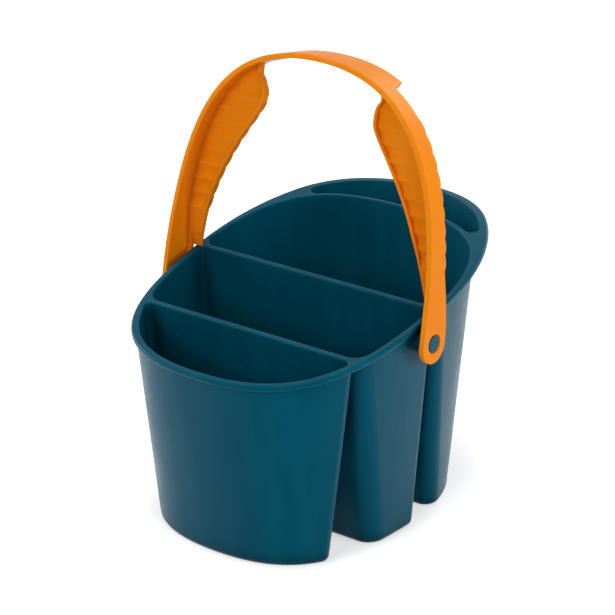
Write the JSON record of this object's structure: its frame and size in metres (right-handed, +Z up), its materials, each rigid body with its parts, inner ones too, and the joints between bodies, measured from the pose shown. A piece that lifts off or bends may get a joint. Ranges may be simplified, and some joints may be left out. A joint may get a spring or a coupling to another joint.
{
  "type": "brush washer",
  "caption": "Oval plastic bucket divided into tall tapered cups under a sloping rim, with a small rear pocket and an arched handle hinged at both sides.",
  "frame": {"origin": "centre of the bounding box in plan, on the plane the cups stand on", "axes": "+Z up; +Y from the low front cup to the high rear pocket; +X to the right of someone facing the rear"},
  "size_m": [0.153, 0.189, 0.2182],
  "materials": {
    "teal_plastic": "semi-gloss moulded polypropylene",
    "orange_plastic": "semi-gloss moulded polypropylene"
  },
  "bodies": {
    "bucket": {"bucket_body": "teal_plastic", "pivot_pin_left": "teal_plastic", "pivot_pin_right": "teal_plastic"},
    "handle": {"handle": "orange_plastic"}
  },
  "joints": [
    {"name": "handle_swing", "type": "hinge", "parent": "bucket", "child": "handle", "pos_m": [0, -0.0158, 0.1004], "axis": [1, 0, 0], "range_deg": [0, 97]}
  ]
}
